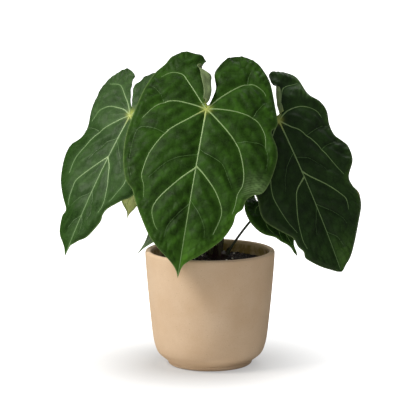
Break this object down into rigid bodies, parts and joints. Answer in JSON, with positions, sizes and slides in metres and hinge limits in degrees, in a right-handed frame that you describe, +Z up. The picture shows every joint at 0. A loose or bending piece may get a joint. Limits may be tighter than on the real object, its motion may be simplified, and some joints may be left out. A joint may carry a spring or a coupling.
{
  "type": "potted anthurium bullosum",
  "caption": "Potted aroid with heart-shaped, deep-veined, wavy-edged dark green leaves on round stalks, rising from a short crown in a matte beige tapered pot.",
  "frame": {"origin": "centre of the pot's foot ring, on the surface that the pot stands on", "axes": "+Z up; the front of the plant faces -Y; +X to the right as seen from the front"},
  "size_m": [0.3284, 0.176, 0.3331],
  "materials": {
    "stoneware": "matte",
    "potting_mix": "loose, rough",
    "crown": "papery",
    "leaf_blade": "velvety satin",
    "leaf_stalk": "satin"
  },
  "bodies": {
    "root": {"pot": "stoneware", "potting_mix": "potting_mix", "crown": "crown", "leaf_front_blade": "leaf_blade", "leaf_front_stalk": "leaf_stalk", "leaf_left_blade": "leaf_blade", "leaf_left_stalk": "leaf_stalk", "leaf_right_blade": "leaf_blade", "leaf_right_stalk": "leaf_stalk", "leaf_lower_right_blade": "leaf_blade", "leaf_lower_right_stalk": "leaf_stalk", "leaf_back_left_blade": "leaf_blade", "leaf_back_left_stalk": "leaf_stalk", "leaf_low_left_blade": "leaf_blade", "leaf_low_left_stalk": "leaf_stalk"}
  },
  "joints": []
}
